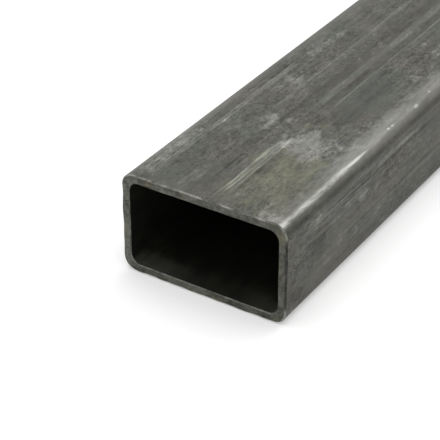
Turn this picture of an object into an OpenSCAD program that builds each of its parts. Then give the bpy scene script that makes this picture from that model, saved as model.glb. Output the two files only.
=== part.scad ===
// Rectangular hollow section of steel: one length of cold-formed stock, sawn square at both ends.
// It lies flat on one wide wall. X runs along the length, Y across the width and Z up from the floor.
// The origin is on the floor, under the middle of the length. All sizes are in millimetres.

/* [Section] */
// Outside width, across the wide walls
section_width = 100; // [60:1:200]
// Outside height, across the narrow walls
section_height = 60; // [40:1:120]
// Thickness of the flat walls
wall = 5; // [3:0.1:8]
// Outside radius of the rolled corners
outer_radius = 8; // [5:0.5:12]
// Inside radius of the rolled corners, where the bent steel has gathered
inner_radius = 5.5; // [3:0.5:9]

/* [Sawn ends] */
// Length between the two sawn faces
cut_length = 1000; // [200:10:6000]
// Width of the bevel filed round the outer edge of each sawn face
outer_edge_break = 0.8; // [0.2:0.1:1.2]
// Width of the bevel filed round the mouth of the bore
mouth_edge_break = 0.8; // [0.2:0.1:1.2]

/* [Hidden] */

// Clear size of the bore, inside the walls
bore_width = section_width - 2 * wall;
bore_height = section_height - 2 * wall;

// How far the cutter for the bore runs past each sawn face
cutter_overrun = 5;

// Dull grey of the rolled skin
steel_grey = [0.43, 0.43, 0.40];

// Fineness of the round corners
$fn = 64;

// One long edge of a bar, at a distance of reach from its middle line.
// At each end it turns outwards by flare at 45 degrees, or inwards where flare is negative.
function edge_points(bar_length, reach, flare) = [
    [-bar_length / 2, reach + flare],
    [-bar_length / 2 + abs(flare), reach],
    [bar_length / 2 - abs(flare), reach],
    [bar_length / 2, reach + flare],
];

// A flat slab along X with that edge on both sides, as thick as its own flat faces are apart
module flared_slab(bar_length, reach, thickness, flare) {
    edge = edge_points(bar_length, reach, flare);
    other_edge = [for (i = [len(edge) - 1 : -1 : 0]) [edge[i][0], -edge[i][1]]];
    linear_extrude(thickness, center = true)
        polygon(concat(edge, other_edge));
}

// A round rod along X with that edge all the way round
module flared_rod(bar_length, radius, flare) {
    middle_line = [[0, bar_length / 2], [0, -bar_length / 2]];
    edge = [for (point = edge_points(bar_length, radius, flare)) [point[1], point[0]]];
    rotate([0, 90, 0])
        rotate_extrude()
            polygon(concat(edge, middle_line));
}

// A bar along X with a rounded rectangular section: two crossed slabs give its four flat sides,
// and a rod in each corner gives its round edges. All of them flare together at the two ends.
module rounded_bar(bar_length, width, height, radius, flare) {
    corner_y = width / 2 - radius;
    corner_z = height / 2 - radius;
    flared_slab(bar_length, width / 2, 2 * corner_z, flare);
    rotate([90, 0, 0])
        flared_slab(bar_length, height / 2, 2 * corner_y, flare);
    for (side_y = [-1, 1], side_z = [-1, 1])
        translate([0, side_y * corner_y, side_z * corner_z])
            flared_rod(bar_length, radius, flare);
}

// The tube: the outer bar with its end edges broken, less the bore with its mouths opened
module tube() {
    color(steel_grey)
        translate([0, 0, section_height / 2])
            difference() {
                rounded_bar(cut_length, section_width, section_height, outer_radius, -outer_edge_break);
                rounded_bar(
                    cut_length + 2 * cutter_overrun, bore_width, bore_height, inner_radius,
                    mouth_edge_break + cutter_overrun
                );
            }
}

tube();
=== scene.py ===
# %% [markdown]
# # A length of rectangular steel tube
# The object is raw stock: strip steel that was rolled into a box, welded along one seam and sawn to length.
# Its solid already has the right section, corners and broken edges, so this lesson is about its skin.
# Each step says what the real surface is, how it could be made in Blender, and why this way was taken.

# %% Load the fixed frame and keep its box
import math

import bpy
import numpy as np
from mathutils import Matrix, Vector, noise


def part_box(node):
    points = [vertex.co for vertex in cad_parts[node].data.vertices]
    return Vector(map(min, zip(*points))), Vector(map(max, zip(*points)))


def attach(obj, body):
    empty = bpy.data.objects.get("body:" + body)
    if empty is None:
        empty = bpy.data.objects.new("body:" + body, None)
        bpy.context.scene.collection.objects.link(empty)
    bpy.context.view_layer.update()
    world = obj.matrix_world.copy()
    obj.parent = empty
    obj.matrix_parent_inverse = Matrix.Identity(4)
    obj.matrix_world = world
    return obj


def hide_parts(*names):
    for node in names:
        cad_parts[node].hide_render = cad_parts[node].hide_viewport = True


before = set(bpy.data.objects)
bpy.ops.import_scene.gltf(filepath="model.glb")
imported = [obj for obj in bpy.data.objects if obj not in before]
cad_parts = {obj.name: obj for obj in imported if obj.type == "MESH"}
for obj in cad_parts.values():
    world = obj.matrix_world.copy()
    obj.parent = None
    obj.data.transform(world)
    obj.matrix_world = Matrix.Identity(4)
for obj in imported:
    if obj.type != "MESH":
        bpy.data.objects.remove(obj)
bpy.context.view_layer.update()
low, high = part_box("tube")
LENGTH, WIDTH, HEIGHT = high - low
MM = 0.001
print("tube of", [round(size / MM, 2) for size in (LENGTH, WIDTH, HEIGHT)], "mm")

# %% [markdown]
# ## The section, as one closed path
# The tube's outside and its bore are two rounded rectangles, one inside the other.
# A Bevel modifier could round two boxes, but then the outside and the bore would not share their points.
# Here a point on the path is a place between the corner centres and a direction to lean out in.
# The same list of places and directions then gives the outside, the bore and every ring between them.

# %% Wall sizes and steps
WALL = 5 * MM
OUTER_RADIUS = 8 * MM
INNER_RADIUS = 5.5 * MM
ARC_STEPS = 12
UNDER_STEPS, SIDE_STEPS = 30, 40
SEAM_FROM, SEAM_TO = 0.5, 0.66    # share of the top wall that holds the weld's traces
TOP_STEPS = (44, 30, 30)    # points before, on and after that share
TOP_STOPS = np.concatenate([
    np.linspace(start, end, steps)[:-1]
    for start, end, steps in zip((0, SEAM_FROM, SEAM_TO), (SEAM_FROM, SEAM_TO, 1), TOP_STEPS)
])
print(len(TOP_STOPS), "points across the top wall")


# %% Section path
def straight(start, end, lean, stops):
    """Places on a flat wall: start and end are corner signs, and the lean stays the same."""
    start, end = np.array(start), np.array(end)
    return [(*(start + (end - start) * stop), lean) for stop in stops]


def bend(corner, lean):
    """Places round one corner, which leans through a right angle."""
    return [(*corner, lean + 90 * step / ARC_STEPS) for step in range(ARC_STEPS)]


def even(steps):
    """Shares from 0 up to but not including 1."""
    return np.arange(steps) / steps


path = np.array(
    straight((0, -1), (1, -1), -90, even(UNDER_STEPS)) + bend((1, -1), -90)
    + straight((1, -1), (1, 1), 0, even(SIDE_STEPS)) + bend((1, 1), 0)
    + straight((1, 1), (-1, 1), 90, TOP_STOPS) + bend((-1, 1), 90)
    + straight((-1, 1), (-1, -1), 180, even(SIDE_STEPS)) + bend((-1, -1), 180)
    + straight((-1, -1), (0, -1), 270, even(UNDER_STEPS))
)
lean = np.radians(path[:, 2])
outward = np.stack([np.cos(lean), np.sin(lean)], axis=1)
AROUND = len(path)
print(AROUND, "points round the section")


# %% Outside and bore
def loop(width, height, radius):
    """The path as (y, z) points round a rounded rectangle that stands on the tube's middle line."""
    reach = np.array([width / 2 - radius, height / 2 - radius])
    return path[:, :2] * reach + outward * radius + np.array([0, HEIGHT / 2])


outside = loop(WIDTH, HEIGHT, OUTER_RADIUS)
bore = loop(WIDTH - 2 * WALL, HEIGHT - 2 * WALL, INNER_RADIUS)
print("the bore is", (np.ptp(bore, axis=0) / MM).round(2), "mm wide and high")

# %% [markdown]
# ## Unrolled places
# The tube was a flat strip before it was rolled, and its streaks and lines still run along that strip.
# A point's place in space could steer the marks too, but then a line would smear where it meets a corner.
# So each point also gets its place on the unrolled strip: how far along it lies,
# and how far around from the top's middle.
# A third number tells how far a point lies past the middle of its nearest corner.
# It is below 0 on the wide walls and above 0 on the narrow ones, so it finds all four corners at once.

# %% Distances round the strip
steps_round = np.linalg.norm(np.roll(outside, -1, axis=0) - outside, axis=1)
GIRTH = steps_round.sum()
around = np.concatenate([[0], np.cumsum(steps_round)]) - GIRTH / 2
on_narrow_wall = np.abs(np.append(outward, outward[:1], axis=0)[:, 1]) < math.sqrt(0.5)
top_corner = WIDTH / 2 - OUTER_RADIUS + OUTER_RADIUS * math.pi / 4
under_corner = GIRTH / 2 - top_corner
from_corner = np.minimum(np.abs(np.abs(around) - top_corner), np.abs(np.abs(around) - under_corner))
past_corner = np.where(on_narrow_wall, from_corner, -from_corner)
print("girth", round(GIRTH / MM, 1), "mm")

# %% [markdown]
# ## Relief of the rolled walls
# Rolled walls are never quite flat. They wave a little, and the dressed weld leaves low lines on the top.
# Bump alone would do that for one picture, but the mesh is kept as well, so the waves are in its points.
# All of it cuts inwards, so the tube stays inside its true size.

# %% Relief functions
WAVE_CELL = Vector((0.11, 0.028, 0.028))    # metres along, across and up
WAVE_DEPTH = 0.10 * MM
SEAM_LINES = [
    # around from the top's middle, half width, height above the dressed band
    (2.6 * MM, 1.5 * MM, 0.07 * MM),
    (10.0 * MM, 0.5 * MM, 0.06 * MM),
]
SEAM_MIDDLE, SEAM_HALF = 6.4 * MM, 5.2 * MM
SEAM_DEPTH = 0.09 * MM


def wave(x, y, z):
    """Smooth noise from 0 to 1 over the tube's surface."""
    spot = Vector((x / WAVE_CELL.x, y / WAVE_CELL.y, z / WAVE_CELL.z))
    return 0.5 + 0.5 * noise.noise(spot)


def hump(distance, half_width):
    """A rounded rise: 1 in the middle and 0 from half_width on."""
    share = np.clip(np.abs(distance) / half_width, 0, 1)
    return (1 - share**2) ** 2


def depth_at(x):
    """How deep the outside lies under its true size, for each point of the path at this x."""
    waves = np.array([wave(x, y, z) for y, z in outside]) * WAVE_DEPTH
    seam = SEAM_DEPTH * hump(around[:-1] - SEAM_MIDDLE, SEAM_HALF)
    for middle, half_width, height in SEAM_LINES:
        seam = seam - height * hump(around[:-1] - middle, half_width)
    return waves + seam.clip(0)


print("the walls lie up to", round(depth_at(-LENGTH / 2).max() / MM, 3), "mm under their true size")

# %% [markdown]
# ## Broken edges at the sawn ends
# After sawing, the sharp edges are taken off with a file, by hand, so the small bevel's width wanders.
# A Bevel modifier gives one even width. Here the width comes from noise along the edge instead.

# %% Edge width
RIM_BREAK, MOUTH_BREAK = 0.9 * MM, 0.45 * MM
EDGE_SPREAD = 0.4
EDGE_CELLS = (13 * MM, 5 * MM)
END_SHIFT = 7    # keeps the two ends from getting the same noise


def edge_break(points, x, width):
    """Width of the filed edge at each point of a loop, up to EDGE_SPREAD of it more or less."""
    found = np.zeros(AROUND)
    for cell in EDGE_CELLS:
        found += [noise.noise(Vector((x * END_SHIFT, y / cell, z / cell))) for y, z in points]
    return width * (1 + EDGE_SPREAD * found.clip(-1, 1))


near_widths = edge_break(outside, -LENGTH / 2, RIM_BREAK) / MM
print("the near rim is filed", near_widths.min().round(2), "to", near_widths.max().round(2), "mm wide")

# %% [markdown]
# ## Rows of points, all the way round the wall
# The surface is a ring of rows: along the outside, over the far sawn face, back through the bore
# and over the near face.
# Skin, bore and ends could be meshes of their own, but then their seams would have to meet exactly.
# Closing one ring makes one watertight skin of four-sided faces, with no cap or join to hide.
# Rows lie close near both ends, where the eye rests, and further apart in the middle.

# %% Rows
END_ZONE = 160 * MM
NEAR_STEP, MIDDLE_STEP, BORE_STEP = 2.4 * MM, 9 * MM, 11 * MM
END_X = LENGTH / 2
FACE_RINGS = (0.35, 0.65)


def stations():
    """Places of the outside rows along the tube, the dense end zones included."""
    zone = np.arange(END_X - END_ZONE, END_X - 2 * RIM_BREAK, NEAR_STEP)
    middle = np.arange(-END_X + END_ZONE, END_X - END_ZONE, MIDDLE_STEP)
    return np.concatenate([-zone[::-1], middle[1:-1], zone])


def row(x, points):
    """One row of points: x may differ from point to point."""
    return np.column_stack([np.broadcast_to(x, AROUND), points])


def sawn_end(side):
    """The outermost row of the skin, the rows across the sawn face, and the bore's first row."""
    x = side * END_X
    outer_break, mouth_break = edge_break(outside, x, RIM_BREAK), edge_break(bore, x, MOUTH_BREAK)
    rim = outside - outward * outer_break[:, None]
    mouth = bore + outward * mouth_break[:, None]
    rings = [row(x, rim + (mouth - rim) * share) for share in (0, *FACE_RINGS, 1)]
    return row(x - side * outer_break, outside), rings, row(x - side * mouth_break, bore)


near_skin, near_rings, near_bore = sawn_end(-1)
far_skin, far_rings, far_bore = sawn_end(1)
skin_rows = [row(x, outside - outward * depth_at(x)[:, None]) for x in stations()]
bore_rows = [row(x, bore) for x in np.arange(END_X - BORE_STEP, -END_X + 2 * RIM_BREAK, -BORE_STEP)]
print(len(skin_rows), "rows along the skin and", len(bore_rows), "along the bore")

# %% Zones of rows, in their order round the wall
zones = [
    # finish, rows from the zone's first line up to the next zone's first line, height on the unrolled sheet
    ("skin", [near_skin, *skin_rows], 0.600),
    ("rim", [far_skin], 0.012),
    ("sawn", far_rings[:-1], 0.034),
    ("mouth", [far_rings[-1]], 0.012),
    ("bore", [far_bore, *bore_rows], 0.260),
    ("mouth", [near_bore], 0.012),
    ("sawn", near_rings[:0:-1], 0.034),
    ("rim", [near_rings[0]], 0.012),
]
rows = [line for _, lines, _ in zones for line in lines]
print(len(rows), "rows,", len(rows) * AROUND * 2, "triangles")

# %% [markdown]
# ## The mesh
# The rows become one mesh, and each zone's faces get their own finish.
# The unrolled places become an attribute. It could sit on the points, but the strip's two edges share theirs,
# so it sits on the corners of the faces.

# %% Build the mesh
FINISHES = ["skin", "rim", "sawn", "mouth", "bore"]
SHARP_ANGLE = math.radians(30)


def four_corners(grid):
    """Values of a rows-by-path grid at the four corners of each face: two on this row, two on the next."""
    after = np.roll(grid, -1, axis=0)
    return np.stack([grid[:, :-1], grid[:, 1:], after[:, 1:], after[:, :-1]], axis=-1)


def closed(grid):
    """A rows-by-path grid with its first column once more at the end."""
    return np.concatenate([grid, grid[:, :1]], axis=1)


point_numbers = closed(np.arange(len(rows) * AROUND).reshape(len(rows), AROUND))
along = four_corners(closed(np.array(rows)[:, :, 0] + END_X))
beside = four_corners(np.tile(around, (len(rows), 1)))
past = four_corners(np.tile(past_corner, (len(rows), 1)))

mesh = bpy.data.meshes.new("tube_skin")
mesh.from_pydata(np.concatenate(rows).tolist(), [], four_corners(point_numbers).reshape(-1, 4).tolist())
finish_of_row = [FINISHES.index(name) for name, lines, _ in zones for _ in lines]
mesh.polygons.foreach_set("material_index", np.repeat(finish_of_row, AROUND))
mesh.polygons.foreach_set("use_smooth", np.ones(len(mesh.polygons), dtype=bool))
mesh.set_sharp_from_angle(angle=SHARP_ANGLE)
strip = mesh.attributes.new("strip", "FLOAT_VECTOR", "CORNER")
strip.data.foreach_set("vector", np.stack([along, beside, past], axis=-1).astype(np.float32).ravel())
print("mesh of", len(mesh.polygons), "faces, strip from", strip.data[0].vector[:])

# %% [markdown]
# ## The unrolled sheet
# Its finishes can be painted onto one square picture.
# So each face needs a place on that picture.
# Smart UV Project would cut the tube into many islands, all at one scale.
# The tube is its own best guide: skin and bore lie along the sheet as strips, and the end rings unrolled.

# %% Unwrap
SHEET_GAP = 0.003
SHEET_EDGE = 0.002

sheet_across, sheet_up = np.empty_like(along), np.empty_like(along)
turn_share = (beside + GIRTH / 2) / GIRTH
first, bottom = 0, SHEET_EDGE
for name, lines, height in zones:
    part = slice(first, first + len(lines))
    if name in ("skin", "bore"):
        sheet_across[part] = along[part] / LENGTH
        sheet_up[part] = bottom + height * turn_share[part]
    else:
        share = np.arange(len(lines))[:, None, None] + np.array([0, 0, 1, 1])
        sheet_across[part] = turn_share[part]
        sheet_up[part] = bottom + height * share / len(lines)
    first += len(lines)
    bottom += height + SHEET_GAP
sheet_across = SHEET_EDGE + sheet_across * (1 - 2 * SHEET_EDGE)
sheet = mesh.uv_layers.new(name="OFBake")
sheet.uv.foreach_set("vector", np.stack([sheet_across, sheet_up], axis=-1).astype(np.float32).ravel())
print("the sheet is filled up to", round(bottom - SHEET_GAP, 3))

# %% [markdown]
# ## The tube as an object
# A mesh is only a shape, and an object puts it into the scene. Nothing on the tube moves, so one will do.
# It could lie over the plain solid, but the two would show through each other, so it takes the solid's place.

# %% Add the tube to the scene
tube = bpy.data.objects.new("steel_tube", mesh)
bpy.context.scene.collection.objects.link(tube)
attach(tube, "root")
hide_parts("tube")
print(tube.name, "takes the solid's place")

# %% [markdown]
# ## A hand for wiring materials
# All finishes below are node trees. Written out in full, each node takes four lines, and the pattern is lost.
# This small class keeps a material and adds a node in one line, so that a finish reads as a recipe.

# %% Material helper
MIX_FIRST, MIX_SECOND, MIX_RESULT = 6, 7, 2    # sockets of a Mix node that works on colours


class Wiring:
    """One material, with short ways to add and wire its nodes."""

    def __init__(self, name, metallic):
        self.material = bpy.data.materials.new(name)
        self.material.use_nodes = True
        self.tree = self.material.node_tree
        self.shader = self.tree.nodes["Principled BSDF"]
        self.shader.inputs["Metallic"].default_value = metallic

    def node(self, kind, inputs=None, **settings):
        """A new node with its settings, and its inputs linked or set."""
        made = self.tree.nodes.new("ShaderNode" + kind)
        for name, value in settings.items():
            setattr(made, name, value)
        for key, value in (inputs or {}).items():
            self.feed(made.inputs[key], value)
        return made

    def feed(self, socket, value):
        """Link a socket to another one, or set it to a plain value."""
        if isinstance(value, bpy.types.NodeSocket):
            self.tree.links.new(value, socket)
        elif socket.type == "RGBA":
            socket.default_value = (*value, 1.0)
        else:
            socket.default_value = value

    def maths(self, operation, *values):
        """One sum on numbers or sockets."""
        return self.node("Math", dict(enumerate(values)), operation=operation).outputs[0]

    def vector(self, operation, *values):
        """One sum on vectors."""
        return self.node("VectorMath", dict(enumerate(values)), operation=operation).outputs

    def add(self, total, pattern, weight):
        """The total plus weight times a pattern."""
        return self.maths("MULTIPLY_ADD", pattern, weight, total)

    def blend(self, share, first, second):
        """A colour between two colours."""
        mixed = self.node("Mix", {0: share, MIX_FIRST: first, MIX_SECOND: second}, data_type="RGBA")
        return mixed.outputs[MIX_RESULT]

    def shade(self, colour, tone):
        """A colour made lighter or darker by a number."""
        return self.node("VectorMath", {0: colour, "Scale": tone}, operation="SCALE").outputs[0]

    def finish(self, colour, roughness, height=None, depth=0.0):
        """Wire the shader: colour, roughness and a bump of this depth in metres."""
        self.feed(self.shader.inputs["Base Color"], colour)
        self.feed(self.shader.inputs["Roughness"], roughness)
        if height is not None:
            bump = self.node("Bump", {"Strength": 1.0, "Distance": depth, "Height": height})
            self.feed(self.shader.inputs["Normal"], bump.outputs[0])
        print("finish", self.material.name, "has", len(self.tree.nodes), "nodes")
        return self.material


print("ways to wire:", [name for name in vars(Wiring) if not name.startswith("_")])

# %% [markdown]
# ## Patterns on the strip
# Each mark on the steel is made of a few patterns: noise, a fade, a band, a spot or a stroke.
# A painted picture could hold the marks too, but it would blur up close, and to move a mark is to repaint it.
# Patterns stay sharp, and a mark is moved by changing its numbers. They lie on the unrolled strip,
# either as it is or made ragged by noise, which is called the ground of a spot or a stroke.

# %% Pattern helper
RAGGED_PUSH = 1.4     # how far noise pushes the strip about, in sizes of the noise
SPOT_CORE = 0.2       # share of a spot's reach at which it starts to fade
STROKE_TAPER = 5      # mm over which a stroke fades in and out at its ends, each way
FROM_MIN, FROM_MAX, TO_MIN, TO_MAX = 7, 8, 9, 10    # sockets of a Map Range node that works on vectors


class Finish(Wiring):
    """A material with patterns on the tube's strip. Their sizes and places are in mm."""

    def __init__(self, name, metallic):
        super().__init__(name, metallic)
        self.place = self.node("TexCoord").outputs["Object"]
        self.strip = self.node("Attribute", attribute_name="strip").outputs["Vector"]
        self.along, self.around, self.past_corner = self.node("SeparateXYZ", {0: self.strip}).outputs
        self.from_end = self.maths("MINIMUM", self.along, self.maths("SUBTRACT", LENGTH, self.along))

    def noise(self, along, across, detail, roughness, seed, source=None):
        """A noise node with patches of about this size along the tube and across it."""
        cell = (along * MM, across * MM, across * MM)
        scaled = self.vector("DIVIDE", source or self.place, cell)[0]
        settings = {"Vector": scaled, "W": seed, "Scale": 1.0, "Detail": detail, "Roughness": roughness}
        return self.node("TexNoise", settings, noise_dimensions="4D").outputs

    def grain(self, *settings, source=None):
        """Noise as one number from 0 to 1."""
        return self.noise(*settings, source=source)["Fac"]

    def ragged(self, along, across, seed):
        """The strip's places, pushed about by noise of this size."""
        pushes = self.noise(along, across, 4.0, 0.6, seed)["Color"]
        centred = self.vector("SUBTRACT", pushes, (0.5, 0.5, 0.5))[0]
        reach = (RAGGED_PUSH * along * MM, RAGGED_PUSH * across * MM, 0.0)
        return self.vector("MULTIPLY_ADD", centred, reach, self.strip)[0]

    def fade(self, value, start, end, first=0.0, last=1.0):
        """A smooth change from first to last while value goes from start to end."""
        settings = {"Value": value, "From Min": start, "From Max": end, "To Min": first, "To Max": last}
        return self.node("MapRange", settings, interpolation_type="SMOOTHSTEP").outputs[0]

    def band(self, value, middle, half_width, soft):
        """1 near the middle value, falling to 0 over a soft edge. All four are in metres."""
        distance = self.maths("ABSOLUTE", self.maths("SUBTRACT", value, middle))
        return self.fade(distance, half_width, half_width + soft, 1.0, 0.0)

    def spot(self, ground, along, around, reach_along, reach_around):
        """1 at a place on the ground, falling to 0 at its reach."""
        scale = (1 / (reach_along * MM), 1 / (reach_around * MM), 0.0)
        shift = (-along / reach_along, -around / reach_around, 0.0)
        share = self.vector("MULTIPLY_ADD", ground, scale, shift)[0]
        return self.fade(self.vector("LENGTH", share)["Value"], SPOT_CORE, 1.0, 1.0, 0.0)

    def stroke(self, ground, start, end, around, half_width, soft):
        """1 on a line along the ground, falling to 0 over its soft edges and its ends."""
        middle, half_run = (start + end) / 2, (end - start) / 2
        offset = self.vector("SUBTRACT", ground, (middle * MM, around * MM, 0.0))[0]
        settings = {
            "Vector": self.vector("ABSOLUTE", offset)[0],
            FROM_MIN: ((half_run - STROKE_TAPER) * MM, half_width * MM, 1.0),
            FROM_MAX: ((half_run + STROKE_TAPER) * MM, (half_width + soft) * MM, 2.0),
            TO_MIN: (0, 0, 0),
            TO_MAX: (1, 1, 1),
        }
        faded = self.node("MapRange", settings, data_type="FLOAT_VECTOR", interpolation_type="SMOOTHSTEP")
        outside_share = self.vector("LENGTH", faded.outputs["Vector"])["Value"]
        inside = {0: 1.0, 1: outside_share}
        return self.node("Math", inside, operation="SUBTRACT", use_clamp=True).outputs[0]


print("patterns:", [name for name in vars(Finish) if not name.startswith("_")])

# %% [markdown]
# ## Rolled skin: oxide
# Rolled steel has a dull grey skin of oxide, drawn out along the rolling direction.
# One noise would look like cloth or cloud, so several are put together.
# Bands run the length of the tube. Fields lie between them: a rounder noise, cut so that it is light or
# dark with little between, as drying leaves it. The grain on top is fine. A slow noise turns it up and
# down, because a real skin is calm in some places and busy in others.

# %% Oxide tone
# Each noise has its size along and across in mm, its detail, roughness and seed.
OXIDE_BANDS = (500, 8.0, 1.0, 0.5, 11.0)
OXIDE_FIELDS = (24, 12.0, 5.0, 0.6, 13.0)
OXIDE_BUSY = (60, 24, 3.0, 0.5, 15.0)
OXIDE_GRAIN = [
    # size along and across in mm, detail, roughness, weight, seed
    (45, 1.6, 3.0, 0.6, 1.0, 12.0),
    (4, 2.2, 3.0, 0.7, 1.7, 14.0),
    (1.3, 0.9, 2.0, 0.6, 1.4, 16.0),
]


def oxide_tone(skin, oiled, calm):
    """Lightness of the oxide, 1 on average. Oil smooths its grain, and calm turns it down."""
    bands = skin.add(0.65, skin.grain(*OXIDE_BANDS), 0.7)
    fields = skin.fade(skin.grain(*OXIDE_FIELDS), 0.42, 0.58, -0.09, 0.09)
    busy = skin.fade(skin.grain(*OXIDE_BUSY), 0.38, 0.62, 0.55, 1.45)
    busy = skin.maths("MULTIPLY", busy, skin.fade(oiled, 0.0, 0.8, 1.0, 0.6))
    busy = skin.maths("MULTIPLY", busy, calm)
    fine = -sum(layer[4] for layer in OXIDE_GRAIN) / 2
    for along_size, across_size, detail, roughness, weight, seed in OXIDE_GRAIN:
        fine = skin.add(fine, skin.grain(along_size, across_size, detail, roughness, seed), weight)
    return skin.add(skin.add(bands, fields, 1.0), fine, busy)


print(len(OXIDE_GRAIN), "layers of grain in the oxide")

# %% [markdown]
# ## Rolled skin: roll lines
# The forming rolls and the tool that dressed the weld left straight lines, some pale and some dark.
# Drawn-out noise would give lines as well, but they would fall anywhere.
# So each is a stroke at a set place around the strip, from one place along it to another.
# One noise lets all of them wander by a hair, and a slow one breaks them up.

# %% Roll lines
LINE_BREAKS = (30, 8, 5.0, 0.65, 21.0)
LINE_WANDER = (30, 3, 22.0)    # size along and across in mm, and seed
ROLL_LINES = [
    # around from the top's middle, half width, soft edge, from, to (all in mm), lighter or darker
    # the dressed weld and the strips beside it, near the sawn end and further on
    (5.4, 2.4, 1.4, 10, 74, 0.22),
    (2.3, 0.3, 0.3, 2, 44, -0.30),
    (3.5, 0.5, 0.35, 17, 75, 1.00),
    (3.3, 0.3, 0.3, 3, 21, 0.45),
    (5.5, 0.6, 0.4, 14, 73, 0.80),
    (6.7, 0.2, 0.3, 12, 50, -0.40),
    (7.7, 0.35, 0.4, 18, 70, 0.60),
    (10.2, 0.4, 0.7, 6, 48, -0.32),
    (1.0, 1.7, 0.5, 120, 1000, 0.34),
    (-5.0, 2.8, 1.2, 118, 1000, -0.18),
    (5.9, 2.2, 0.7, 112, 1000, -0.26),
    (9.2, 0.35, 0.3, 114, 1000, 0.90),
    (22.0, 8.0, 9.0, 106, 205, -0.12),
    # the rest of the top wall
    (-6.2, 0.25, 0.7, 26, 72, -0.32),
    (-3.2, 0.25, 0.6, 32, 48, -0.30),
    (-17.8, 0.5, 0.5, 108, 620, 0.44),
    (-33.9, 0.4, 0.4, 62, 152, 0.70),
    (-35.6, 0.6, 0.4, 54, 152, 0.75),
    (-37.0, 0.3, 0.4, 84, 152, -0.25),
    (-39.2, 1.6, 0.6, 66, 152, -0.28),
    (-34.9, 0.3, 0.3, 2, 48, 0.60),
    (-34.0, 0.4, 0.3, 32, 66, 0.50),
    (-36.6, 0.4, 0.3, 10, 66, 0.75),
    (-39.5, 0.5, 0.4, 26, 54, 0.45),
    (-43.4, 1.0, 1.2, 22, 100, 0.40),
    (-40.9, 0.4, 0.4, 76, 116, -0.26),
    (-41.8, 0.3, 0.3, 58, 88, 0.45),
    (-42.8, 0.4, 0.4, 98, 152, -0.24),
    (-38.9, 0.3, 0.3, 108, 130, 0.50),
    (-38.5, 0.3, 0.4, 4, 38, 0.60),
    (-40.8, 0.5, 0.4, 12, 58, 0.50),
    # scratches on the narrow wall
    (57.2, 0.4, 0.3, 18, 44, 0.65),
    (58.6, 0.25, 0.25, 22, 38, 0.60),
    (60.3, 0.3, 0.3, 14, 58, 0.75),
    (61.2, 0.25, 0.25, 24, 50, 0.60),
    (63.0, 0.25, 0.25, 20, 36, 0.60),
    (62.0, 0.4, 0.4, 16, 48, -0.36),
    (64.0, 0.6, 0.5, 36, 58, 0.40),
    (65.8, 0.4, 0.4, 62, 84, 0.60),
    (63.2, 0.3, 0.3, 74, 108, 0.40),
    (55.8, 0.4, 0.3, 66, 92, 0.50),
    (58.4, 1.2, 0.4, 94, 142, 0.75),
    (61.4, 0.6, 0.8, 72, 168, -0.30),
    (60.2, 0.3, 0.3, 60, 82, 0.55),
    (62.6, 0.3, 0.3, 46, 70, 0.50),
    (66.8, 0.3, 0.3, 70, 92, 0.50),
    (57.6, 0.3, 0.3, 48, 64, 0.50),
    (59.4, 0.3, 0.3, 28, 46, 0.45),
    (64.8, 0.3, 0.3, 58, 78, 0.50),
    (67.6, 0.3, 0.3, 64, 80, 0.45),
    (69.0, 0.3, 0.3, 72, 96, 0.45),
    (59.2, 0.5, 0.4, 52, 92, -0.36),
    (63.7, 0.4, 0.4, 52, 74, -0.36),
    (66.3, 0.4, 0.4, 30, 96, -0.34),
    (68.3, 0.4, 0.4, 84, 126, -0.32),
    (70.4, 0.5, 0.6, 20, 170, -0.26),
    (83.5, 0.6, 0.8, 64, 174, -0.26),
    (85.6, 0.8, 0.8, 90, 170, 0.22),
    # upper edges of both narrow walls, and the walls that face away
    (56.4, 0.4, 1.0, -10, 1000, -0.14),
    (-56.4, 0.4, 1.0, -10, 1000, -0.14),
    (-71.0, 0.8, 1.2, 60, 900, 0.22),
    (116.0, 1.0, 1.5, 40, 700, 0.25),
    (-128.0, 0.8, 1.2, 200, 1000, 0.28),
    (141.0, 1.5, 1.5, -10, 560, -0.20),
]


def roll_lines(skin):
    """How much the roll lines lighten or darken the skin."""
    breaks = skin.fade(skin.grain(*LINE_BREAKS), 0.34, 0.56, 0.3, 1.15)
    ground = skin.ragged(*LINE_WANDER)
    lines = 0.0
    for middle, half_width, soft, start, end, weight in ROLL_LINES:
        lines = skin.add(lines, skin.stroke(ground, start, end, middle, half_width, soft), weight)
    return skin.maths("MULTIPLY", lines, breaks)


print(len(ROLL_LINES), "roll lines and scratches")

# %% [markdown]
# ## Rolled skin: rubbed places
# Where tubes slid over each other, the skin is rubbed pale in ragged flecks. Between them some stays dark.
# A painted blot would have a smooth edge. Here a fractal noise is cut off at a level, and what is above it
# is pale. Each rubbed place lifts the noise, so the flecks crowd together. One with a minus sign sinks it.
# The places are laid on a strip that noise has pushed about, so that none of them is a plain oval.

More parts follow.
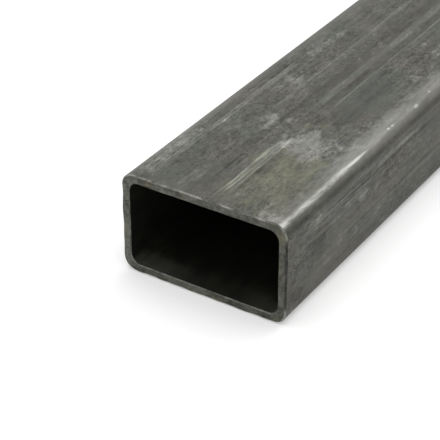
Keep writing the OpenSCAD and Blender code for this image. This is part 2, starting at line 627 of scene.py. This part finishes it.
# %% Rubbed places
FLECKS = (8, 3.6, 5.0, 0.75, 31.0)
FLECK_DRIFT = (90, 26, 2.0, 0.5, 32.0)
SCATTER = (34, 12, 4.0, 0.6, 33.0)
RUBBED_WANDER = (16, 9, 34.0)
RUBBED_PLACES = [
    # along, around, reach along, reach around (all in mm), how far it lifts the noise
    # pale places on the top wall
    (16, -39, 30, 10, 0.15),
    (50, -40, 26, 9, 0.21),
    (72, -28, 18, 10, 0.10),
    (134, -26, 19, 10, 0.15),
    (137, -27, 9, 11, 0.10),
    (88, -11, 17, 10, 0.21),
    (93, -13, 8, 4, 0.06),
    (94, -2, 8, 4, 0.14),
    (24, -13, 28, 8, 0.07),
    (75, 6, 13, 8, 0.14),
    (74, 17, 18, 13, 0.29),
    (67, 25, 34, 20, 0.08),
    (73, 16, 11, 10, 0.20),
    (65, 23, 10, 7, 0.12),
    (86, 14, 10, 12, 0.20),
    (70, 28, 11, 9, 0.08),
    (81, 32, 16, 8, 0.11),
    (103, 26, 9, 3, 0.15),
    (3, 40, 12, 10, 0.30),
    (6, 31, 9, 5, 0.18),
    (17, 30, 13, 9, 0.12),
    (82, 39, 15, 6, 0.16),
    (108, 36, 20, 5, 0.14),
    (172, 26, 24, 14, 0.03),
    (182, 33, 26, 9, 0.14),
    (184, -32, 34, 11, 0.14),
    # dark places on the top wall
    (41, 12, 7, 5, -0.20),
    (98, 9, 9, 7, -0.16),
    (14, -27, 16, 9, -0.06),
    (132, 23, 36, 16, -0.04),
    (103, 20, 12, 20, -0.13),
    (104, -10, 12, 12, -0.07),
    (56, -16, 18, 10, -0.06),
    (188, -26, 22, 7, -0.16),
    # pale and dark places on the narrow wall
    (36, 60, 36, 9, 0.09),
    (66, 67, 32, 6, 0.12),
    (80, 69.5, 8, 5, 0.24),
    (62, 84, 36, 6, 0.09),
    (92, 89, 54, 8, 0.10),
    (24, 77, 26, 11, -0.55),
    (8, 93, 11, 7, -0.50),
    (3, 79, 10, 16, -0.40),
    (110, 72, 30, 7, -0.12),
]
PALE_LEVEL = (0.69, 0.96)
DARK_LEVEL = (0.58, 0.30)


def lifted(skin, level, places, ground):
    """A noise that rises or sinks at each of the places."""
    for along_place, around_place, reach_along, reach_around, lift in places:
        place = skin.spot(ground, along_place, around_place, reach_along, reach_around)
        level = skin.add(level, place, lift)
    return level


def rubbed_level(skin):
    """The fleck noise, with the listed places near one end and scattered ones on the rest of the tube."""
    level = skin.add(skin.grain(*FLECKS), skin.grain(*FLECK_DRIFT), 0.25)
    listed = skin.maths(
        "MULTIPLY",
        skin.band(skin.around, 26 * MM, 70 * MM, 6 * MM),
        skin.fade(skin.along, 170 * MM, 230 * MM, 1.0, 0.0),
    )
    scattered = skin.fade(skin.grain(*SCATTER), 0.50, 0.70, 0.0, 0.26)
    level = skin.add(level, scattered, skin.maths("SUBTRACT", 1.0, listed))
    return lifted(skin, level, RUBBED_PLACES, skin.ragged(*RUBBED_WANDER))


print(len(RUBBED_PLACES), "rubbed and dark places")

# %% [markdown]
# ## Rolled skin: old oil
# Stock is oiled against rust, and the oil dries to a thin olive film in blotches.
# A clear coat over the steel could show it, but so dry a film hardly shines, and its colour is what tells.
# It is made like the rubbed places, with rounder noise, and it changes the colour as well as the lightness.

# %% Oil film
OIL_BLOTS = (16, 6, 4.0, 0.6, 41.0)
OIL_DRIFT = (120, 40, 2.0, 0.5, 42.0)
OIL_WANDER = (30, 22, 43.0)
OIL_BREAKS = (11, 5, 4.0, 0.7, 44.0)
OILED_PLACES = [
    # along, around, reach along, reach around (all in mm), how far it lifts the noise
    (32, 26, 58, 33, 0.24),
    (24, 32, 34, 16, 0.12),
    (30, 4, 44, 9, 0.09),
    (42, 17, 34, 9, 0.14),
    (54, 25, 24, 19, 0.26),
    (24, -35, 20, 7, 0.16),
    (92, 9, 12, 7, 0.18),
    (46, 88, 8, 9, 0.14),
    (186, 18, 24, 9, 0.08),
]
OIL_LEVEL = (0.62, 1.26)


def oil_share(skin):
    """Share of the surface under old oil, 0 to 1."""
    level = skin.add(skin.grain(*OIL_BLOTS), skin.grain(*OIL_DRIFT), 0.3)
    share = skin.fade(lifted(skin, level, OILED_PLACES, skin.ragged(*OIL_WANDER)), *OIL_LEVEL)
    broken = skin.fade(skin.grain(*OIL_BREAKS), 0.38, 0.62, 0.35, 1.25)
    return skin.maths("MINIMUM", skin.maths("MULTIPLY", share, broken), 1.0)


print(len(OILED_PLACES), "oiled places")

# %% [markdown]
# ## Rolled skin: worn corners, painted highlight and painted shade
# The corners carry every knock, so their skin is worn to bright steel, most of all near the ends.
# That bright steel also paints the corner's highlight. Near the ends it is a bright line, which tapers off.
# Further on, wear and painted highlight make an even shine with a ragged edge, on the side of the wide wall,
# with a few bright dents and painted glints in it.
# Below the corner's middle the skin is painted darker as shade, down to the edge of the narrow wall.
# Blender's Pointiness finds bends by itself, but it would also find the sawn edges.
# The strip's third number knows the long corners alone, and on which side of them a point lies.

# %% Wear and painted highlight along the corners
SCUFFS = (12, 1.8, 5.0, 0.7, 51.0)
CORNER_WANDER = (24, 40, 4.0, 0.7, 53.0)
SHINE_EDGE = (9, 4, 5.0, 0.75, 54.0)
# the bright corner line is wear and painted highlight; this is where it stops
BRIGHT_LINE_END = 94    # mm from an end up to which the corner is worn most


def bare_line_and_highlight(skin, scuffs):
    """The bright line near both ends, wear and painted highlight, which narrows and then stops."""
    wandering = skin.add(skin.past_corner, skin.grain(*CORNER_WANDER), 2.4 * MM)
    narrowed = skin.fade(skin.from_end, 50 * MM, BRIGHT_LINE_END * MM, 1.0, 0.25)
    off_line = skin.maths("DIVIDE", skin.maths("ADD", wandering, 0.9 * MM), narrowed)
    line = skin.band(off_line, 0.0, 0.3 * MM, 2.2 * MM)
    hard = skin.fade(skin.from_end, (BRIGHT_LINE_END - 12) * MM, BRIGHT_LINE_END * MM, 0.62, 0.0)
    return skin.maths("MULTIPLY", skin.maths("MULTIPLY", line, hard), scuffs)


def even_wear_and_sheen(skin, scuffs):
    """The even sheen further on, wear and painted highlight, with a ragged edge on the side of the wide wall.
    """
    ragged_edge = skin.add(skin.past_corner, skin.grain(*SHINE_EDGE), 20 * MM)
    shine = skin.maths(
        "MULTIPLY",
        skin.fade(ragged_edge, -4.5 * MM, 4.5 * MM),
        skin.fade(skin.past_corner, -3.6 * MM, 4.2 * MM, 1.0, 0.0),
    )
    strength = skin.fade(skin.from_end, 40 * MM, 72 * MM, 0.12, 0.36)
    strength = skin.maths("MULTIPLY", strength, skin.fade(skin.from_end, 100 * MM, 145 * MM, 1.0, 0.76))
    strength = skin.maths("MULTIPLY", strength, skin.add(0.42, scuffs, 0.7))
    return skin.maths("MULTIPLY", shine, strength)


# the bright corner line is wear and painted highlight
print("the corners are worn hard up to", BRIGHT_LINE_END, "mm from the ends")

# %% Dents, painted glints and the rest of the corners
DENT_WANDER = (1.5, 0.8, 52.0)
# bright spots on the worn corners: partly dents, partly painted glints
DENTS_AND_GLINTS = [
    # along, around, reach along, reach around (all in mm), how bright
    (1.5, 46.4, 7.0, 3.0, 0.20),
    (79.0, 46.3, 15.0, 1.2, 0.28),
    (114.5, 45.2, 1.6, 1.0, 0.55),
    (119.0, 45.4, 2.2, 0.9, 0.45),
    (146.0, 46.2, 3.4, 1.3, 0.5),
    (164.0, 45.0, 1.8, 0.9, 0.4),
]


def wear_and_highlight_share(skin):
    """Share of bare steel and painted highlight on the corners, 0 to 1, with less on the far side."""
    scuffs = skin.fade(skin.grain(*SCUFFS), 0.34, 0.64, 0.3, 1.0)
    bright = skin.maths("ADD", bare_line_and_highlight(skin, scuffs), even_wear_and_sheen(skin, scuffs))
    side = skin.fade(skin.around, -10 * MM, 10 * MM, 0.3, 1.0)
    worn = lifted(skin, skin.maths("MULTIPLY", bright, side), DENTS_AND_GLINTS, skin.ragged(*DENT_WANDER))
    return skin.maths("MINIMUM", worn, 1.0)


def off_corner(skin):
    """1 on the flat walls, and less on the corners, where the rolls ironed the skin smooth."""
    return skin.fade(skin.maths("ABSOLUTE", skin.past_corner), 4 * MM, 8 * MM, 0.4, 1.0)


def corner_shadow(skin):
    """1 on the half of a corner toward the narrow wall, where shade is painted, and 0 elsewhere."""
    start = skin.fade(skin.past_corner, 0.5 * MM, 3 * MM)
    return skin.maths("MULTIPLY", start, skin.fade(skin.past_corner, 3.7 * MM, 6.5 * MM, 1.0, 0.0))


# the dents include painted glints
print(len(DENTS_AND_GLINTS), "dents in the worn corners")

# %% [markdown]
# ## Rolled skin: all together
# The tone lights or darkens a grey that drifts between warm and cool, as oxide of changing thickness does.
# Oil and pale flecks colour it, and bare steel, which also carries the painted highlight, is laid over it.
# Painted shade darkens each corner below its middle. The same patterns set how dull each place is.
# Each layer could be a shader of its own, but all of it is steel, so one shader takes one mixed colour.

# %% Rolled skin finish
WARM_GREY = (0.093, 0.089, 0.076)
COOL_GREY = (0.081, 0.085, 0.0735)
RUBBED_PALE = (0.219, 0.217, 0.199)
OIL_OLIVE = (0.142, 0.142, 0.100)
# the worn corners' steel, also used as the colour of the painted highlight
BARE_STEEL_AND_HIGHLIGHT = (0.44, 0.44, 0.415)
PALE_COVER, OIL_COVER = 0.82, 0.85
DARK_DEPTH, SHADOW_DEPTH = -0.42, -0.28
TINT_DRIFT = (30, 14, 3.0, 0.6, 61.0)
SKIN_SCRATCHES = (24, 0.9, 3.0, 0.6, 62.0)
SCRATCH_DEPTH = 0.04 * MM
QUIET_PLACES = [
    # along, around, reach along, reach around (all in mm), how quiet
    (134, 22, 42, 17, 1.0),
    (150, -9, 40, 10, 0.5),
    (75, 86, 120, 18, 0.7),
]
TINTED_PLACES = [
    # along, around, reach along, reach around (all in mm), how far the grey turns cool, or warm with a minus
    (140, 20, 50, 18, 0.24),
    (101, -6, 28, 16, -0.14),
    (55, -12, 30, 12, -0.12),
    (164, 6, 46, 5, -0.14),
    (120, 50, 90, 6, -0.14),
    (24, 77, 26, 11, 0.50),
]


def rolled_skin():
    """Grey oxide with roll lines, rubbed flecks, oil, worn corners, painted highlights and painted corner
    shade.
    """
    skin = Finish("rolled_skin", metallic=0.8)
    level, oiled, worn = rubbed_level(skin), oil_share(skin), wear_and_highlight_share(skin)
    lines = roll_lines(skin)
    quiet = lifted(skin, 0.0, QUIET_PLACES, skin.strip)
    calm = skin.maths("MULTIPLY", off_corner(skin), skin.fade(quiet, 0.0, 1.0, 1.0, 0.45))
    tone = skin.maths("ADD", oxide_tone(skin, oiled, calm), lines)
    # painted shade on each corner's half toward the narrow wall
    tone = skin.add(tone, corner_shadow(skin), SHADOW_DEPTH)
    tone = skin.add(tone, skin.maths("MULTIPLY", skin.fade(level, *DARK_LEVEL), calm), DARK_DEPTH)
    drift = skin.add(skin.add(skin.grain(*TINT_DRIFT), level, 0.4), lines, 0.25)
    drift = skin.fade(lifted(skin, drift, TINTED_PLACES, skin.strip), 0.61, 0.89)
    colour = skin.blend(drift, WARM_GREY, COOL_GREY)
    colour = skin.blend(skin.maths("MULTIPLY", oiled, OIL_COVER), colour, OIL_OLIVE)
    pale = skin.maths("MULTIPLY", skin.fade(level, *PALE_LEVEL), PALE_COVER)
    colour = skin.blend(pale, colour, RUBBED_PALE)
    colour = skin.shade(colour, skin.maths("MAXIMUM", tone, 0.3))
    # bare steel on the corners, which also paints the highlight and glints
    colour = skin.blend(worn, colour, BARE_STEEL_AND_HIGHLIGHT)
    scratches = skin.grain(*SKIN_SCRATCHES)
    rough = skin.add(skin.add(0.46, scratches, 0.2), worn, -0.2)
    rough = skin.add(rough, oiled, -0.06)
    return skin.finish(colour, rough, scratches, depth=SCRATCH_DEPTH)


finish_of = {"skin": rolled_skin()}

# %% [markdown]
# ## Sawn face
# The saw leaves a flat grey face with fine scratches, all in the direction the blade ran.
# Anisotropic shading would hint at that direction, but without a single scratch.
# So they are noise again, stretched along the blade's path and turned a few degrees from level.
# Coolant and handling then stain the face in blots, which are a rounder noise, and a finer one gives it
# flecks. Damp has browned some of it.

# %% Sawn face finish
SAWN_GREY = (0.088, 0.090, 0.076)
SAWN_BROWN = (0.096, 0.090, 0.060)
BLADE_TILT = math.radians(7)
SAW_SCRATCHES = (20, 0.5, 2.0, 0.5, 71.0)
SAW_STRETCH = (1.0, 0.03, 1.0)    # squeezes places along the blade's path, which draws the noise out
SAW_DEPTH = 0.03 * MM
SAWN_BLOTS = (12, 9.0, 5.0, 0.65, 72.0)
SAWN_FLECKS = (2.4, 2.0, 3.0, 0.6, 74.0)
SAWN_DAMP = (14, 10, 4.0, 0.65, 73.0)


def sawn_face():
    """Grey sawn steel with fine scratches along the blade's path and stains."""
    sawn = Finish("sawn_face", metallic=0.8)
    turned = sawn.node("VectorRotate", {"Vector": sawn.place, "Angle": BLADE_TILT}, rotation_type="X_AXIS")
    stretched = sawn.vector("MULTIPLY", turned.outputs[0], SAW_STRETCH)[0]
    scratches = sawn.grain(*SAW_SCRATCHES, source=stretched)
    blots = sawn.grain(*SAWN_BLOTS)
    flecks = sawn.grain(*SAWN_FLECKS)
    tone = sawn.add(sawn.add(sawn.add(-2.5, scratches, 2.0), blots, 3.2), flecks, 1.8)
    rough = sawn.add(0.40, scratches, 0.2)
    browned = sawn.fade(sawn.grain(*SAWN_DAMP), 0.50, 0.68)
    colour = sawn.shade(sawn.blend(browned, SAWN_GREY, SAWN_BROWN), sawn.maths("MAXIMUM", tone, 0.45))
    return sawn.finish(colour, rough, scratches, depth=SAW_DEPTH)


finish_of["sawn"] = sawn_face()

# %% [markdown]
# ## Filed edges
# The file cuts through the skin to bright steel, so a thin pale line runs round the sawn face.
# On one narrow wall the rim is painted dark as shade, and so is half of the mouth's edge.
# They could be two materials, each written out, but both edges are one recipe.
# Only their pale colour and the place and length of the painted shade differ.

# %% Filed edge finishes
FILED_STEEL = (0.172, 0.172, 0.153)
DULL_STEEL = (0.128, 0.128, 0.114)
# painted shade on one stretch of each filed edge
PAINTED_EDGE_SHADE = (0.036, 0.036, 0.032)
NICKS = (5, 7.0, 4.0, 0.7, 81.0)


def filed_edge(name, pale, dark_middle, dark_half):
    """Filed steel with nicks, and painted shade for so many mm each way from a place around the strip."""
    edge = Finish(name, metallic=0.8)
    nicks = edge.grain(*NICKS)
    wavy = edge.add(edge.around, nicks, 6 * MM)
    # a stretch of painted shade
    painted_shade_stretch = edge.band(wavy, (dark_middle + 3) * MM, dark_half * MM, 5 * MM)
    tone = edge.fade(nicks, 0.34, 0.66, 0.4, 1.65)
    colour = edge.shade(edge.blend(painted_shade_stretch, pale, PAINTED_EDGE_SHADE), tone)
    return edge.finish(colour, edge.add(0.35, nicks, 0.25))


finish_of["rim"] = filed_edge("filed_rim", FILED_STEEL, dark_middle=76, dark_half=19)
finish_of["mouth"] = filed_edge("filed_mouth", DULL_STEEL, dark_middle=24, dark_half=70)

# %% [markdown]
# ## Bore
# The inside was never dressed. It keeps its dark scale and a film of oil, and little light comes in.
# Light that falls in at the mouths is painted on the lower wall as a pale film, for a finger's width,
# most of it along the sides. The walls and roof are painted darker than the lower wall as shade.
# Both are colours, so the bore's finish carries them.

# %% Bore finish
BORE_SCALE = (0.018, 0.021, 0.016)
BORE_OIL = (0.023, 0.023, 0.014)
# painted light where light falls in at the mouths
BORE_MOUTH_LIGHT = (0.060, 0.063, 0.049)
BORE_STREAKS = (60, 3, 3.0, 0.6, 91.0)
BORE_BLOTS = (18, 9, 4.0, 0.6, 92.0)


def dark_bore():
    """Dark oily scale with soft streaks, painted shade on the walls and painted light near the mouths."""
    inner = Finish("bore_scale", metallic=0.5)
    streaks = inner.grain(*BORE_STREAKS)
    blots = inner.grain(*BORE_BLOTS)
    tone = inner.add(inner.add(0.1, streaks, 0.5), blots, 1.3)
    colour = inner.blend(inner.fade(blots, 0.4, 0.6), BORE_SCALE, BORE_OIL)
    _, across, height = inner.node("SeparateXYZ", {0: inner.place}).outputs
    low_down = inner.fade(height, WALL + 0.5 * MM, WALL + 4 * MM, 1.0, 0.0)
    # painted light: a pale film on the lower wall near the mouths
    near_mouth = inner.fade(inner.add(inner.from_end, blots, -16 * MM), 0, 8 * MM, 1.0, 0.0)
    # painted shade: the walls and roof are darker than the lower wall
    colour = inner.shade(colour, inner.fade(low_down, 0.0, 1.0, 0.6, 0.8))
    off_centre = inner.maths("ABSOLUTE", inner.maths("ADD", across, 8 * MM))
    gathered = inner.fade(off_centre, 6 * MM, 44 * MM, 0.06, 1.0)
    mouth_light = inner.maths("MULTIPLY", inner.maths("MULTIPLY", low_down, near_mouth), gathered)
    colour = inner.blend(mouth_light, colour, BORE_MOUTH_LIGHT)
    return inner.finish(inner.shade(colour, tone), inner.add(0.40, blots, 0.25))


finish_of["bore"] = dark_bore()

# %% [markdown]
# ## Finishes on the mesh
# A mesh keeps its materials in a numbered list, and each face holds a number in it.
# Faces could be picked and given a finish one by one, but they already have their numbers from their zones.
# So the finishes only have to be listed in the same order.

# %% Give the tube its finishes
for name in FINISHES:
    mesh.materials.append(finish_of[name])
print("the tube has the finishes", [material.name for material in mesh.materials])

# %% [markdown]
# ## Floor and background
# Stock is photographed on plain white. A wide pale floor gives that, and it keeps the tube's soft shadow.
# Brighter lamps would whiten the floor too, but they would also bleach the steel.
# So the floor adds a little white of its own to what the eye and the steel see of it.

# %% Floor
FLOOR_SIZE = 60.0
FLOOR_WHITE = (0.86, 0.86, 0.86, 1.0)
FLOOR_LIFT = 0.26


def seen_directly(tree):
    """1 for rays from the eye, from a shiny surface or through glass, and 0 for others."""
    rays = tree.nodes.new("ShaderNodeLightPath").outputs
    seen = rays["Is Camera Ray"]
    for name in ("Is Glossy Ray", "Is Transmission Ray"):
        either = tree.nodes.new("ShaderNodeMath")
        either.operation = "MAXIMUM"
        tree.links.new(seen, either.inputs[0])
        tree.links.new(rays[name], either.inputs[1])
        seen = either.outputs[0]
    return seen


def between(tree, share, low_value, high_value):
    """A number between two values, by a share from 0 to 1."""
    change = tree.nodes.new("ShaderNodeMapRange")
    change.inputs["To Min"].default_value = low_value
    change.inputs["To Max"].default_value = high_value
    tree.links.new(share, change.inputs["Value"])
    return change.outputs[0]


def pale_floor():
    """A matt white floor that looks white to the eye, shadow apart."""
    material = bpy.data.materials.new("pale_floor")
    material.use_nodes = True
    tree = material.node_tree
    shader = tree.nodes["Principled BSDF"]
    shader.inputs["Base Color"].default_value = FLOOR_WHITE
    shader.inputs["Roughness"].default_value = 0.9
    shader.inputs["Specular IOR Level"].default_value = 0.1
    shader.inputs["Emission Color"].default_value = (1, 1, 1, 1)
    tree.links.new(between(tree, seen_directly(tree), 0.0, FLOOR_LIFT), shader.inputs["Emission Strength"])
    return material


half = FLOOR_SIZE / 2
floor_corners = [(-half, -half, 0), (half, -half, 0), (half, half, 0), (-half, half, 0)]
floor_mesh = bpy.data.meshes.new("floor")
floor_mesh.from_pydata(floor_corners, [], [(0, 1, 2, 3)])
floor_mesh.materials.append(pale_floor())
floor = bpy.data.objects.new("floor", floor_mesh)
bpy.context.scene.collection.objects.link(floor)
print("white floor,", FLOOR_SIZE, "m wide")

# %% World
WORLD_LIGHT = 0.7

world = bpy.data.worlds.new("white_room")
world.use_nodes = True
bpy.context.scene.world = world
background = world.node_tree.nodes["Background"]
background.inputs["Color"].default_value = (1, 1, 1, 1)
sky = between(world.node_tree, seen_directly(world.node_tree), WORLD_LIGHT, 1.0)
world.node_tree.links.new(sky, background.inputs["Strength"])
print("the world looks white and lights the tube at", WORLD_LIGHT)

# %% [markdown]
# ## Lamps
# The white world alone would light every wall alike.
# A large soft lamp overhead makes the top wall the lightest, as on the real tube.
# A smaller one past the far end, a little to the right, is what the worn corner mirrors as a bright line.

# %% Lamps
LAMPS = [
    # name, place, point it faces, width, depth, brightness
    ("top_lamp", (0.0, 0.0, 1.7), (0.0, 0.0, 0.0), 2.4, 1.8, 1.36),
    ("corner_lamp", (0.85, -0.50, 1.35), (-0.45, -0.05, 0.06), 0.6, 0.5, 2.0),
]


def soft_lamp(name, place, target, width, depth, brightness):
    """A rectangular lamp whose surface has this brightness, where 1 is white."""
    data = bpy.data.lights.new(name, "AREA")
    data.shape = "RECTANGLE"
    data.size, data.size_y = width, depth
    data.energy = brightness * math.pi * width * depth
    lamp = bpy.data.objects.new(name, data)
    facing = Vector(target) - Vector(place)
    lamp.matrix_world = Matrix.Translation(place) @ facing.to_track_quat("-Z", "Y").to_matrix().to_4x4()
    lamp.visible_camera = False
    bpy.context.scene.collection.objects.link(lamp)
    print(name, "at", place, "gives", round(data.energy, 1), "W")


for lamp in LAMPS:
    soft_lamp(*lamp)

# %% [markdown]
# ## Camera
# The picture was taken with a long lens, from above the right side of the sawn end.
# A long lens needs the camera's place and aim to be right to a few millimetres.
# Turning it by eye would not give that, so both are set as real sizes.

# %% Camera
PICTURE_PIXELS = 440
FOCAL_PIXELS = 1607.6
SENSOR = 36.0
CAMERA_PLACE = Vector((-1.0691, -0.3755, 0.4878))
CAMERA_AIM = Vector((-0.5388, -0.0357, 0.0809))

camera_data = bpy.data.cameras.new("camera")
camera_data.sensor_width = SENSOR
camera_data.lens = FOCAL_PIXELS * SENSOR / PICTURE_PIXELS
camera = bpy.data.objects.new("camera", camera_data)
aim = (CAMERA_AIM - CAMERA_PLACE).to_track_quat("-Z", "Y").to_matrix().to_4x4()
camera.matrix_world = Matrix.Translation(CAMERA_PLACE) @ aim
bpy.context.scene.collection.objects.link(camera)
bpy.context.scene.camera = camera
print("lens", round(camera_data.lens, 1), "mm")

# %% [markdown]
# ## Colour view
# The dressed tube has to fill the same box as its solid. Colours are shown as they are written.

# %% Finish
bpy.context.scene.view_settings.view_transform = "Standard"
